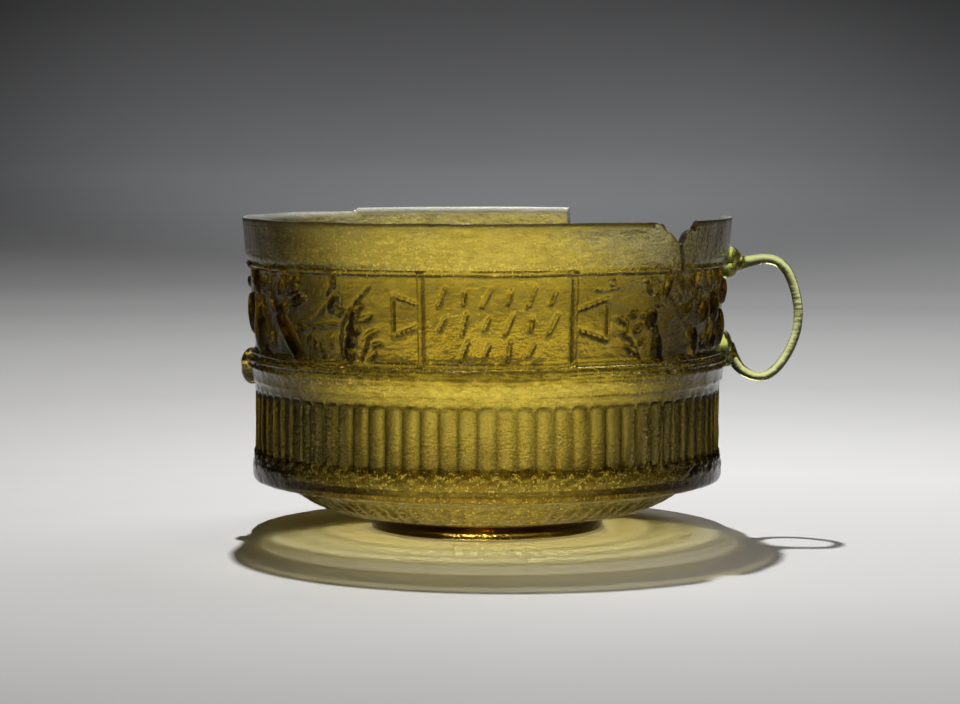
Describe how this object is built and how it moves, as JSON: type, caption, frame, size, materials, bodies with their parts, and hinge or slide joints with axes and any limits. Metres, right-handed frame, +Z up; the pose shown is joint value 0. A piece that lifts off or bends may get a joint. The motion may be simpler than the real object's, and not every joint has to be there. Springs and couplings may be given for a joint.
{
  "type": "glass cup",
  "caption": "Drinking cup of mould-blown olive glass: fluted lower wall, relief frieze of plants with a panel, broken rim, low foot ring, a loop handle and the stump of the lost one.",
  "frame": {"origin": "centre of the flat boss under the foot, level with the foot ring that the cup stands on", "axes": "+Z up, +X towards the loop handle, -Y towards the panel that the picture shows"},
  "size_m": [0.1096, 0.0947, 0.0608],
  "materials": {
    "mould_blown_glass": "see-through olive glass, lightly weathered, ground at the rim",
    "handle_glass": "see-through pale olive glass, fire smooth",
    "stump_glass": "see-through olive glass, snapped"
  },
  "bodies": {
    "root": {"cup_body": "mould_blown_glass", "handle": "handle_glass", "handle_stump": "stump_glass"}
  },
  "joints": []
}
